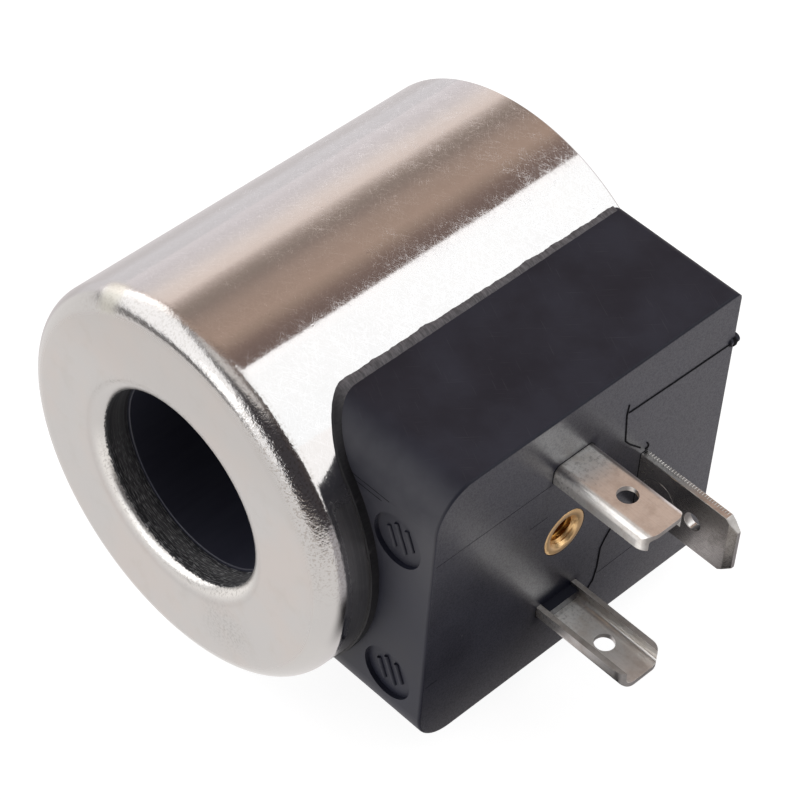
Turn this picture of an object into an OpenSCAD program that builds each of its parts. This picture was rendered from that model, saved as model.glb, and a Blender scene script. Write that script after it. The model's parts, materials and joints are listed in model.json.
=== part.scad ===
// Solenoid coil: a drawn steel can round a wound bobbin, with a moulded
// connector block on its side that carries two line pins, an earth blade
// and a threaded insert for the plug's screw.
// The bore runs along Y from the front face at y = 0, the contacts point
// along +X, and Z is up with the coil lying on its side.

/* [Can] */
// Outer diameter of the can
can_d = 37; // [36:0.1:40]
// Length from the front face to the rear rim
body_len = 40.2; // [38:0.1:46]
// Thickness of the can's side wall
can_wall = 2.5; // [1.8:0.1:3]
// Thickness of the can's front face
face_t = 3.2; // [2:0.1:4]
// Outside radius round the front edge
edge_r = 2.4; // [1:0.1:3]
// Inside radius between face and side wall
inner_r = 0.4; // [0.2:0.05:0.5]
// Radial step from the bobbin's bore out to the steel around it
mouth_step = 0.25; // [0.1:0.05:0.6]
// Rounding at the mouth of the hole in the front face
mouth_r = 1.2; // [0.4:0.1:1.6]
// Chamfer round the rear rim
rim_c = 0.3; // [0.1:0.05:0.6]
// Width of the window that the moulding passes through
window_w = 17; // [16:0.5:20]
// Distance from the front face to the window
window_y = 10; // [8:0.5:12]
// Corner radius of the window
window_r = 2; // [1:0.1:3]

/* [Flux plate] */
// Thickness of the plate that closes the rear of the can
plate_t = 3; // [2:0.1:4]
// Depth of the plate below the rear rim
plate_sink = 0.25; // [0.1:0.05:0.8]
// Chamfer on the plate's two rear edges
plate_c = 0.4; // [0.1:0.05:0.8]

/* [Bobbin and winding] */
// Diameter of the bore
bore_d = 18; // [16:0.1:18.6]
// Wall of the bobbin's core
bobbin_wall = 1.1; // [0.8:0.1:1.4]
// Thickness of each flange
flange_t = 1.5; // [1.2:0.1:2]
// Radial gap from the flanges to the can
flange_gap = 0.5; // [0.5:0.05:1]
// Diameter of the winding wire with its enamel
wire_d = 0.45; // [0.3:0.05:0.6]
// Length of the outer layer that stays open at its end
last_gap = 6; // [4:0.5:10]
// Gap from the winding to each flange
end_gap = 0.2; // [0.18:0.01:0.3]
// Thickness of the tape round the winding
wrap_t = 0.3; // [0.1:0.05:0.5]
// Thickness of the plastic moulded between the tape and the can
sleeve_t = 1; // [1:0.05:2.4]

/* [Leads] */
// Diameter of each lead
lead_d = 0.5; // [0.4:0.05:0.7]
// Bend radius of the leads, on their centre line
lead_bend = 0.8; // [0.6:0.05:1]
// Distance of each lead from the middle plane
lead_z = 3.2; // [3:0.1:4]
// Depth of the leads below the can's outer side
lead_sink = 1.3; // [1:0.05:1.5]
// Outer diameter of the sleeves
sleeve_d = 1.2; // [0.9:0.05:1.4]
// Bare length of each lead next to the lug
strip_len = 2; // [1.6:0.1:3]
// Width of the strip under the start lead
strip_w = 4; // [2:0.1:5]
// Thickness of that strip
strip_t = 0.15; // [0.05:0.01:0.17]
// Radius of each soldered joint
solder_r = 0.95; // [0.8:0.05:1.1]
// Solder between lead and lug
solder_film = 0.1; // [0.05:0.01:0.2]

/* [Connector block] */
// Height of the block's top above the middle plane
block_up = 15.2; // [14:0.1:16]
// Depth of the block's underside below the middle plane
block_down = 15.4; // [14:0.1:16]
// Height of the connector face above the can's side
block_out = 5.75; // [5:0.05:8]
// Distance from the front face to the block
block_front = 5.5; // [4:0.1:7]
// Radius of the block's upper front corner
corner_up_r = 4; // [2:0.1:5]
// Radius of the block's lower front corner
corner_down_r = 3.8; // [2:0.1:5]
// Radius of the block's two rear corners
rear_r = 0.7; // [0.3:0.1:1.5]
// Rounding round the connector face
block_edge = 0.25; // [0.2:0.05:1]
// Width of the thin skirt on the can, in front of the block
flash_w = 0.75; // [0.6:0.05:1.6]
// Height of the skirt above and below the block, at its front corners
flash_side = 0.45; // [0.3:0.05:0.8]
// Height of the skirt above and below the block, where it ends at the rear
flash_end = 0.05; // [0.05:0.01:0.3]
// Thickness of the skirt
flash_t = 0.2; // [0.1:0.05:0.5]
// Diameter of the two round recesses in the front of the block
mark_d = 5.2; // [3:0.1:5.6]
// Depth of the recesses
mark_depth = 0.45; // [0.2:0.05:1]
// Distance of the recesses below the connector face
mark_x = 3.95; // [3.4:0.05:4.2]
// Height of the upper recess above the middle plane
mark_up = 7.6; // [5:0.1:8]
// Depth of the lower recess below the middle plane
mark_down = 8.9; // [6:0.1:9]
// Height of the ledge of plastic inside each line pin
fill_h = 0.9; // [0.3:0.1:1.5]
// Distance of that ledge below the pin's rims
fill_gap = 0.3; // [0.1:0.05:0.6]
// Diameter of the sprue nub on the rear edge
nub_d = 0.9; // [0.5:0.1:1.2]
// Height of the nub
nub_h = 0.5; // [0.2:0.1:0.8]
// Height of the nub above the middle plane
nub_z = 9.5; // [6:0.1:11]

/* [Line pins] */
// Distance from the screw to each pin's outer face
pin_z = 9.45; // [9:0.05:9.8]
// Width of each channel
pin_w = 4.7; // [3.8:0.1:5]
// Height of the channel
pin_h = 1.7; // [1.4:0.05:2.2]
// Sheet thickness
pin_t = 0.5; // [0.4:0.05:0.6]
// Outside bend radius of the channel
pin_bend = 0.9; // [0.7:0.05:1.2]
// Length outside the connector face
pin_out = 10.15; // [8:0.05:12]
// Length of the channel inside the block
pin_root = 3.6; // [3:0.1:4]
// Corner radius of the tip
tip_r = 1.3; // [0.6:0.1:1.8]
// Diameter of the hole in the web
pin_hole_d = 1.85; // [1.2:0.05:2.2]
// Distance of that hole from the connector face
pin_hole_x = 5.75; // [4:0.05:7]
// Width of the tail inside the block
tail_w = 1.8; // [1.4:0.1:2.2]
// Length of the lug at the end of the tail
lug_len = 3.4; // [3.2:0.1:4]

/* [Earth blade] */
// Width of the blade
earth_w = 6.3; // [4.8:0.1:7]
// Thickness of the blade
earth_t = 0.8; // [0.6:0.05:1]
// Distance from the screw to the middle of the blade
earth_off = 9.1; // [8.5:0.1:9.5]
// Length outside the connector face
earth_out = 10.7; // [8:0.1:12]
// Length inside the block
earth_root = 4; // [3:0.1:4.4]
// Length of the chamfers at the tip's corners
tip_cx = 1.25; // [0.4:0.05:2]
// Width of the same chamfers
tip_cz = 1; // [0.4:0.05:1.6]
// Length of the bevel on the tip's faces
bevel_l = 0.85; // [0.3:0.05:1.5]
// Depth of the bevel
bevel_t = 0.22; // [0.1:0.01:0.28]
// Diameter of the hole outside
earth_hole_d = 1.7; // [1:0.05:2.2]
// Distance of that hole from the connector face
earth_hole_x = 6.2; // [4:0.1:7]
// Diameter of the anchor hole inside the block
anchor_d = 1.6; // [1:0.1:2]
// Distance of the anchor hole below the connector face
anchor_x = 2; // [1.6:0.1:2.4]
// Thickness of the strap from the blade to the can
strap_t = 0.5; // [0.3:0.05:0.8]
// Width of the strap's arm and foot
strap_w = 2.8; // [2:0.1:3.2]
// Gap from the strap's arm to the can's side
strap_gap = 0.5; // [0.3:0.05:0.8]
// Distance of the strap's foot from the window's edge
strap_edge = 0.3; // [0.2:0.05:0.6]

/* [Threaded insert] */
// Distance from the front face to the screw
insert_y = 21.2; // [20:0.1:22]
// Outer diameter of the insert
insert_d = 4.7; // [4:0.1:5]
// Length of the insert
insert_len = 5.4; // [4.5:0.1:5.6]
// Core diameter of the thread
thread_d = 2.5; // [2:0.05:3.3]
// Depth of the thread
thread_len = 4.4; // [3:0.1:4.6]
// Widening of the mouth, measured on the radius
mouth_c = 0.45; // [0.2:0.05:0.6]
// Depth of the grip groove
groove_t = 0.35; // [0.1:0.05:0.5]
// Width of the grip groove
groove_w = 1.2; // [0.6:0.1:1.6]

/* [Fits] */
// Gap between pressed pieces
fit_gap = 0.05; // [0.02:0.01:0.1]
// Shrink gap between the moulding and the steel
mould_gap = 0.02; // [0.01:0.01:0.05]

/* [Hidden] */
$fn = 96;

// How far a cut runs past the surface that it opens
over = 1;

can_r = can_d / 2;
can_in_r = can_r - can_wall;
bore_r = bore_d / 2;
hole_r = bore_r + mouth_step;
core_r = bore_r + bobbin_wall;
flange_r = can_in_r - flange_gap;
plate_y = body_len - plate_sink - plate_t;
bob_y0 = face_t + fit_gap;
bob_y1 = plate_y - fit_gap;
front_flange = bob_y0 + flange_t;
rear_flange = bob_y1 - flange_t;
coil_y0 = front_flange + end_gap;
coil_y1 = rear_flange - end_gap;
wrap_r = can_in_r - sleeve_t;
coil_r = wrap_r - wrap_t;
layer_y = coil_y1 - last_gap;

block_x = can_r + block_out;

lead_x = can_r - lead_sink;
lug_x = lead_x + lead_d / 2 + solder_film;
solder_z = pin_z - lug_len + solder_r;
lead_end = solder_z + solder_r / 2;
start_x = sqrt(pow(core_r + wire_d, 2) - pow(lead_z, 2));
start_y = coil_y1 + lead_bend + lead_d / 2;
finish_x = sqrt(pow(coil_r, 2) - pow(lead_z, 2)) - wire_d;
finish_y = layer_y - wire_d;
sleeve_y0 = insert_y + strip_len;
sleeve_y1 = finish_y - lead_bend;

pin_x0 = block_x - pin_root;
pin_x1 = block_x + pin_out;
earth_x0 = block_x - earth_root;
earth_x1 = block_x + earth_out;

earth_y0 = insert_y + earth_off - earth_t / 2;
earth_y1 = earth_y0 + earth_t;
strap_x = can_r + strap_gap;
strap_z = window_w / 2 + strap_edge;

// Turns a shape made along Z so that it lies along Y
module along_y() {
    rotate([-90, 0, 0]) children();
}

// Extrudes an outline drawn in Y and Z from x0 to x1
module outline_x(x0, x1) {
    translate([x0, 0, 0]) rotate([90, 0, 90]) linear_extrude(height = x1 - x0) children();
}

// Extrudes an outline drawn in X and Z from y0 to y1
module outline_y(y0, y1) {
    translate([0, y1, 0]) rotate([90, 0, 0]) linear_extrude(height = y1 - y0) children();
}

// Extrudes an outline drawn in X and Y from z0 to z1
module outline_z(z0, z1) {
    translate([0, 0, z0]) linear_extrude(height = z1 - z0) children();
}

// Ring about the bore's axis
module ring(y0, y1, r_in, r_out) {
    translate([0, y0, 0]) along_y() rotate_extrude()
        translate([r_in, 0]) square([r_out - r_in, y1 - y0]);
}

// Solid disc about the bore's axis
module disc(y0, y1, r) {
    translate([0, y0, 0]) along_y() cylinder(r = r, h = y1 - y0);
}

// Rectangle from the origin to [w, h], with its far corner rounded
module one_corner(w, h, r) {
    square([w - r, h]);
    square([w, h - r]);
    translate([w - r, h - r]) circle(r);
}

// Rectangle from u0 to u1 and v0 to v1, its corners at u0 rounded by r0 at v0 and r1 at v1
module two_corners(u0, u1, v0, v1, r0, r1) {
    translate([u0, v0 + r0]) square([u1 - u0, v1 - r1 - v0 - r0]);
    translate([u0 + r0, v0]) square([u1 - u0 - r0, 2 * r0]);
    translate([u0 + r1, v1 - 2 * r1]) square([u1 - u0 - r1, 2 * r1]);
    translate([u0 + r0, v0 + r0]) circle(r0);
    translate([u0 + r1, v1 - r1]) circle(r1);
}

// Straight length of wire between two points
module rod(p, q, d) {
    v = q - p;
    l = norm(v);
    translate(p) rotate([0, acos(v.z / l), atan2(v.y, v.x)]) cylinder(d = d, h = l);
}

// Quarter bend at point p, from direction u to direction v
module elbow(p, u, v, d, b) {
    c = p - b * u + b * v;
    w = cross(u, v);
    multmatrix([[-v.x, u.x, w.x, c.x], [-v.y, u.y, w.y, c.y], [-v.z, u.z, w.z, c.z], [0, 0, 0, 1]])
        rotate_extrude(angle = 90) translate([b, 0]) circle(d = d);
}

// Wire along square-cornered points, with a quarter bend at each corner
module wire(pts, d, b) {
    n = len(pts);
    dir = [for (i = [0 : n - 2]) (pts[i + 1] - pts[i]) / norm(pts[i + 1] - pts[i])];
    for (i = [0 : n - 2])
        rod(pts[i] + (i > 0 ? b : 0) * dir[i], pts[i + 1] - (i < n - 2 ? b : 0) * dir[i], d);
    for (i = [1 : n - 2]) elbow(pts[i], dir[i - 1], dir[i], d, b);
}

// Half section of the can: radius across, distance from the front face up
module can_section() {
    difference() {
        union() {
            translate([0, edge_r]) square([can_r, body_len - edge_r]);
            square([can_r - edge_r, 2 * edge_r]);
            translate([can_r - edge_r, edge_r]) circle(edge_r);
        }
        translate([-over, face_t + inner_r]) square([can_in_r + over, body_len]);
        translate([-over, face_t]) square([can_in_r - inner_r + over, 2 * inner_r]);
        translate([can_in_r - inner_r, face_t + inner_r]) circle(inner_r);
        translate([-over, -over]) square([hole_r + over, face_t + 2 * over]);
        difference() {
            translate([0, -over]) square([hole_r + mouth_r, mouth_r + over]);
            translate([hole_r + mouth_r, mouth_r]) circle(mouth_r);
        }
        translate([can_r, body_len]) rotate(45) square(rim_c * sqrt(2), center = true);
    }
}

module window_outline(gap) {
    hw = window_w / 2 - gap;
    two_corners(window_y + gap, body_len, -hw, hw, window_r, window_r);
}

module steel_can() {
    color([0.8, 0.78, 0.75]) difference() {
        along_y() rotate_extrude() can_section();
        outline_x(bore_r, can_r + over) {
            window_outline(0);
            translate([body_len - over, -window_w / 2]) square([2 * over, window_w]);
        }
    }
}

module rear_flux_plate() {
    r = can_in_r - fit_gap;
    color([0.66, 0.65, 0.64]) translate([0, plate_y, 0]) along_y() rotate_extrude()
        polygon([[hole_r, 0], [r, 0], [r, plate_t - plate_c], [r - plate_c, plate_t],
            [hole_r + plate_c, plate_t], [hole_r, plate_t - plate_c]]);
}

// Slot in the rear flange for the start lead
module lead_slot() {
    hw = lead_d / 2 + fit_gap;
    translate([start_x - hw, coil_y1, lead_z - hw])
        cube([flange_r, start_y + hw - coil_y1, 2 * hw]);
}

module bobbin() {
    color([0.13, 0.13, 0.14]) difference() {
        along_y() rotate_extrude() polygon([[bore_r, bob_y0], [flange_r, bob_y0],
            [flange_r, front_flange], [core_r, front_flange], [core_r, rear_flange],
            [flange_r, rear_flange], [flange_r, bob_y1], [bore_r, bob_y1]]);
        lead_slot();
    }
}

module winding() {
    color([0.72, 0.4, 0.2]) difference() {
        along_y() rotate_extrude() polygon([[core_r, coil_y0], [coil_r, coil_y0],
            [coil_r, layer_y], [coil_r - wire_d, layer_y], [coil_r - wire_d, coil_y1],
            [core_r, coil_y1]]);
        finish_path();
    }
}

module winding_wrap() {
    color([0.86, 0.76, 0.4]) difference() {
        ring(coil_y0, coil_y1, coil_r, wrap_r);
        finish_path();
    }
}

module start_strip() {
    x0 = start_x + lead_d;
    x1 = sqrt(pow(wrap_r, 2) - pow(lead_z + strip_w / 2, 2));
    color([0.9, 0.85, 0.6]) translate([x0, rear_flange - strip_t, lead_z - strip_w / 2])
        cube([x1 - x0, strip_t, strip_w]);
}

module start_path() {
    wire([[start_x, coil_y1, lead_z], [start_x, start_y, lead_z], [lead_x, start_y, lead_z],
        [lead_x, insert_y, lead_z], [lead_x, insert_y, lead_end]], lead_d, lead_bend);
}

module finish_path() {
    wire([[finish_x, finish_y, -lead_z], [lead_x, finish_y, -lead_z],
        [lead_x, insert_y, -lead_z], [lead_x, insert_y, -lead_end]], lead_d, lead_bend);
}

module start_lead() {
    color([0.78, 0.42, 0.2]) start_path();
}

module finish_lead() {
    color([0.78, 0.42, 0.2]) finish_path();
}

module sleeve_solid() {
    for (s = [-1, 1])
        rod([lead_x, sleeve_y0, s * lead_z], [lead_x, sleeve_y1, s * lead_z], sleeve_d);
}

module lead_sleeves() {
    color([0.85, 0.82, 0.7]) difference() {
        sleeve_solid();
        start_path();
        finish_path();
    }
}

module solder_solid() {
    for (s = [-1, 1]) intersection() {
        translate([lug_x, insert_y, s * solder_z]) sphere(solder_r);
        translate([lug_x - solder_r, insert_y - solder_r, s * solder_z - solder_r])
            cube([solder_r, 2 * solder_r, 2 * solder_r]);
    }
}

module solder_joints() {
    color([0.7, 0.71, 0.72]) difference() {
        solder_solid();
        start_path();
        finish_path();
    }
}

// Bar of width w that hangs down by h from z = 0, its two upper edges rounded
module bar_section(w, h, r) {
    translate([-w / 2, -h]) square([w, h - r]);
    translate([r - w / 2, -h]) square([w - 2 * r, h]);
    for (s = [-1, 1]) translate([s * (w / 2 - r), -r]) circle(r);
}

// Bent channel with its web on top
module channel_section() {
    difference() {
        bar_section(pin_w, pin_h, pin_bend);
        translate([0, -pin_t]) bar_section(pin_w - 2 * pin_t, pin_h, pin_bend - pin_t);
    }
}

// Contact stamped from sheet: channel with a rounded tip, tail and lug
module line_pin() {
    translate([0, insert_y, pin_z]) {
        difference() {
            intersection() {
                outline_x(pin_x0, pin_x1 + over) channel_section();
                outline_z(-pin_h - over, over) mirror([1, 0])
                    two_corners(-pin_x1, -pin_x0, -pin_w / 2, pin_w / 2, tip_r, tip_r);
            }
            translate([block_x + pin_hole_x, 0, -2 * pin_t]) cylinder(d = pin_hole_d, h = 3 * pin_t);
        }
        translate([lug_x, -tail_w / 2, -pin_t]) cube([pin_x0 + pin_t - lug_x, tail_w, pin_t]);
        translate([lug_x, -tail_w / 2, -lug_len]) cube([pin_t, tail_w, lug_len]);
    }
}

module upper_line_pin() {
    color([0.76, 0.73, 0.69]) line_pin();
}

module lower_line_pin() {
    color([0.76, 0.73, 0.69]) mirror([0, 0, 1]) line_pin();
}

module earth_outline() {
    hw = earth_w / 2;
    difference() {
        polygon([[earth_x0, -hw], [earth_x1 - tip_cx, -hw], [earth_x1, tip_cz - hw],
            [earth_x1, hw - tip_cz], [earth_x1 - tip_cx, hw], [earth_x0, hw]]);
        translate([block_x + earth_hole_x, 0]) circle(d = earth_hole_d);
        translate([block_x - anchor_x, 0]) circle(d = anchor_d);
    }
}

module earth_edge() {
    polygon([[earth_x0, earth_y0], [earth_x1 - bevel_l, earth_y0], [earth_x1, earth_y0 + bevel_t],
        [earth_x1, earth_y1 - bevel_t], [earth_x1 - bevel_l, earth_y1], [earth_x0, earth_y1]]);
}

module earth_blade() {
    color([0.74, 0.73, 0.71]) intersection() {
        outline_y(earth_y0 - over, earth_y1 + over) earth_outline();
        outline_z(-earth_w, earth_w) earth_edge();
    }
}

module earth_strap() {
    color([0.7, 0.69, 0.66]) outline_y(earth_y1, earth_y1 + strap_t) difference() {
        union() {
            translate([strap_x, -strap_w / 2]) square([strap_w, strap_z + 1.5 * strap_w]);
            translate([0, strap_z]) square([strap_x + strap_w, strap_w]);
        }
        circle(can_r);
    }
}

// Outer form of the insert, with a grip groove halfway along it
module insert_solid() {
    r = insert_d / 2;
    g0 = (insert_len - groove_w) / 2;
    g1 = g0 + groove_w;
    translate([block_x - insert_len, insert_y, 0]) rotate([0, 90, 0]) rotate_extrude()
        polygon([[0, 0], [r, 0], [r, g0], [r - groove_t, g0], [r - groove_t, g1], [r, g1],
            [r, insert_len], [0, insert_len]]);
}

module threaded_insert() {
    r = thread_d / 2;
    color([0.8, 0.62, 0.3]) difference() {
        insert_solid();
        translate([block_x, insert_y, 0]) rotate([0, -90, 0]) rotate_extrude()
            polygon([[0, -over], [r + mouth_c, -over], [r + mouth_c, 0], [r, mouth_c], [r, thread_len],
                [0, thread_len + r / 2]]);
    }
}

// Block with rounded corners and a rounded edge round its outer face
module block_solid() {
    intersection() {
        union() {
            outline_z(corner_down_r - block_down, block_up - corner_up_r) translate([0, body_len])
                mirror([0, 1]) one_corner(block_x, body_len - block_front, block_edge);
            block_half(block_up, corner_up_r);
            mirror([0, 0, 1]) block_half(block_down, corner_down_r);
        }
        outline_x(-over, block_x + over) translate([body_len, 0]) mirror([1, 0])
            two_corners(0, body_len, -block_down, block_up, rear_r, rear_r);
    }
}

// Half of the block above the middle plane, up to height h, behind its front corner of radius r
module block_half(h, r) {
    outline_y(block_front + r, body_len) one_corner(block_x, h, block_edge);
    translate([0, block_front + r, h - r]) rotate([90, 0, 90]) rotate(90)
        rotate_extrude(angle = 90) one_corner(r, block_x, block_edge);
}

// Thin skirt of plastic on the can round the block, narrowing to the rear
module skirt() {
    y0 = block_front - flash_w;
    z0 = -block_down - flash_side;
    z1 = block_up + flash_side;
    r0 = corner_down_r + flash_w;
    r1 = corner_up_r + flash_w;
    intersection() {
        ring(y0 - over, body_len - rear_r, can_r + mould_gap, can_r + flash_t);
        outline_x(0, can_r + over) intersection() {
            two_corners(y0, body_len, z0, z1, r0, r1);
            polygon([[y0, z0], [y0 + r0, z0], [body_len, -block_down - flash_end],
                [body_len, block_up + flash_end], [y0 + r1, z1], [y0, z1]]);
        }
    }
}

// Plastic that reaches through the window to the winding
module neck() {
    difference() {
        outline_x(core_r, can_r + over) window_outline(mould_gap);
        disc(face_t, rear_flange, wrap_r + mould_gap);
        disc(rear_flange - mould_gap, plate_y, flange_r + mould_gap);
        disc(bob_y1, body_len + over, can_in_r);
    }
}

module moulding_solid() {
    difference() {
        block_solid();
        disc(-over, body_len + over, can_r + mould_gap);
    }
    skirt();
    neck();
    ring(front_flange + mould_gap, rear_flange - mould_gap, wrap_r + mould_gap, can_in_r - mould_gap);
    for (s = [-1, 1]) translate([block_x - fill_h, insert_y + pin_t - pin_w / 2, 0])
        translate([0, 0, s > 0 ? pin_z - pin_h + fill_gap : -pin_z + pin_t])
            cube([2 * fill_h, pin_w - 2 * pin_t, pin_h - pin_t - fill_gap]);
    translate([block_x - nub_d / 4, body_len - nub_h, nub_z])
        along_y() cylinder(d = nub_d, h = 2 * nub_h);
}

module moulded_block() {
    color([0.16, 0.16, 0.17]) difference() {
        moulding_solid();
        for (z = [mark_up, -mark_down]) translate([block_x - mark_x, block_front - over, z])
            along_y() cylinder(d = mark_d, h = over + mark_depth);
        line_pin();
        mirror([0, 0, 1]) line_pin();
        earth_blade();
        earth_strap();
        insert_solid();
        start_path();
        finish_path();
        sleeve_solid();
        solder_solid();
    }
}

steel_can();
rear_flux_plate();
bobbin();
winding();
winding_wrap();
start_strip();
start_lead();
finish_lead();
lead_sleeves();
solder_joints();
upper_line_pin();
lower_line_pin();
earth_blade();
earth_strap();
threaded_insert();
moulded_block();
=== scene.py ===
# %% [markdown]
# # A solenoid coil, dressed
# This coil is the still half of an electric valve: a bright steel can round a winding, an open bore for the
# armature tube, and a black moulded block that carries the contacts of the plug. Its solids come from the
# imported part, in metres, and stay where they are. Each step gives one of them its finish, or swaps it for
# a finer mesh where the real piece has a form that the plain solid leaves out.

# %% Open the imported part
import json
import math

import bmesh
import bpy
from mathutils import Matrix, Vector, noise


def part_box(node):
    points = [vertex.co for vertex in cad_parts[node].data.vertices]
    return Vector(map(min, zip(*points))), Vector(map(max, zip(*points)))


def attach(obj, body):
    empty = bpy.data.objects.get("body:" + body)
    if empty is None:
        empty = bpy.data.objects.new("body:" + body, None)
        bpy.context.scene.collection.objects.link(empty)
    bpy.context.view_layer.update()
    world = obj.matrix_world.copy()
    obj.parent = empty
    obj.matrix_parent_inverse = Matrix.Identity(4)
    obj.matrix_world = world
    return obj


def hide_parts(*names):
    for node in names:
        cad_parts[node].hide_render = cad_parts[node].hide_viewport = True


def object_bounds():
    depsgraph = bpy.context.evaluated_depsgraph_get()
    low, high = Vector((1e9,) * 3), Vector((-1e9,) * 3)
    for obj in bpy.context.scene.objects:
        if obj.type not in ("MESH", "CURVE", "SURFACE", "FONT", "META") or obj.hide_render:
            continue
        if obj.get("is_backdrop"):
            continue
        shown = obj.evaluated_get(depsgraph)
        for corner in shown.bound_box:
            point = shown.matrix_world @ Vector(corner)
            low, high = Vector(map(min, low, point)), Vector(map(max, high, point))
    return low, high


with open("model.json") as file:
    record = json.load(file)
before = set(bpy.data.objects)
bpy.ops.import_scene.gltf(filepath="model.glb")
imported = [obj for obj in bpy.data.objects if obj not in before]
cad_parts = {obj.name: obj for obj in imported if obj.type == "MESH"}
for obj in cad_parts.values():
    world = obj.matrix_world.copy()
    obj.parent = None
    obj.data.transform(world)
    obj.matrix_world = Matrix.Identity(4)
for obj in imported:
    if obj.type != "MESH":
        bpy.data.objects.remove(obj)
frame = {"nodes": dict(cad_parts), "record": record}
cad_box = [list(corner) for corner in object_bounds()]
nodes = frame["nodes"]
mounts = {mount["name"]: mount for mount in frame["record"]["mounts"]}
scene = bpy.context.scene

mm = 0.001
micron = 1e-6
can_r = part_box("steel_can")[1].z
can_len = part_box("steel_can")[1].y
bore_r = mounts["coil_bore"]["dims"]["r_mm"] * mm
face_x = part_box("threaded_insert")[1].x
screw_y = mounts["connector_screw"]["pos_m"][1]
print(f"can {2 * can_r / mm:.1f} mm across and {can_len / mm:.1f} mm long, {len(nodes)} solids")

# %% [markdown]
# ## The camera
# A product picture is taken with a long lens from some way off, so that edges stay nearly parallel. The
# angles, the distance and the lens decide the perspective, and they are set first, because every later
# choice is judged in this view. A small roll stands for a camera that was not quite level.

# %% Place the camera
view_azimuth = math.radians(42.697)
view_elevation = math.radians(46.705)
view_roll = math.radians(4.336)
view_distance = 259.42 * mm
view_lens = 142.89
aim = Vector((8.758, 17.095, 6.242)) * mm


def direction(azimuth, elevation):
    """Unit vector: azimuth 0 points to the front, along -Y, and turns towards +X."""
    flat = math.cos(elevation)
    return Vector((flat * math.sin(azimuth), -flat * math.cos(azimuth), math.sin(elevation)))


toward_camera = direction(view_azimuth, view_elevation)
camera = bpy.data.objects.new("camera", bpy.data.cameras.new("camera"))
camera.data.lens = view_lens
camera.data.sensor_width = 36
upright = toward_camera.to_track_quat("Z", "Y").to_matrix().to_4x4()
camera.matrix_world = (
    Matrix.Translation(aim + toward_camera * view_distance) @ upright @ Matrix.Rotation(view_roll, 4, "Z")
)
scene.collection.objects.link(camera)
scene.camera = camera
stand = [round(c / mm) for c in camera.matrix_world.translation]
print("camera stands at", stand, "mm from the front of the bore")

# %% [markdown]
# ## Shader maths as arithmetic
# A finish is a small calculation that runs at every point of a surface. Built by hand it is a web of nodes.
# It is easier to read as a formula, so `Wire` wraps one socket and lets `+`, `-`, `*`, `/`, `**` and `abs`
# add the Math nodes, and `ramp` turns a number into a mask. `Sheet` is the node tree that they are drawn
# on, and its method `node` adds any other node.

# %% Wires and sheets


class Wire:
    """One output socket. Arithmetic on it adds Math nodes to its sheet."""

    def __init__(self, sheet, socket):
        self.sheet = sheet
        self.socket = socket

    def __add__(self, other):
        return self.sheet.maths("ADD", self, other)

    def __sub__(self, other):
        return self.sheet.maths("SUBTRACT", self, other)

    def __rsub__(self, other):
        return self.sheet.maths("SUBTRACT", other, self)

    def __mul__(self, other):
        return self.sheet.maths("MULTIPLY", self, other)

    def __truediv__(self, other):
        return self.sheet.maths("DIVIDE", self, other)

    def __pow__(self, other):
        return self.sheet.maths("POWER", self, other)

    def __abs__(self):
        return self.sheet.maths("ABSOLUTE", self)

    __radd__ = __add__
    __rmul__ = __mul__

    def ramp(self, start, end, low=0.0, high=1.0):
        """Runs smoothly from low to high while the wire's value goes from start to end."""
        sockets = {"Value": self, "From Min": start, "From Max": end, "To Min": low, "To Max": high}
        return self.sheet.node("MapRange", {"interpolation_type": "SMOOTHSTEP"}, sockets)["Result"]


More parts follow.
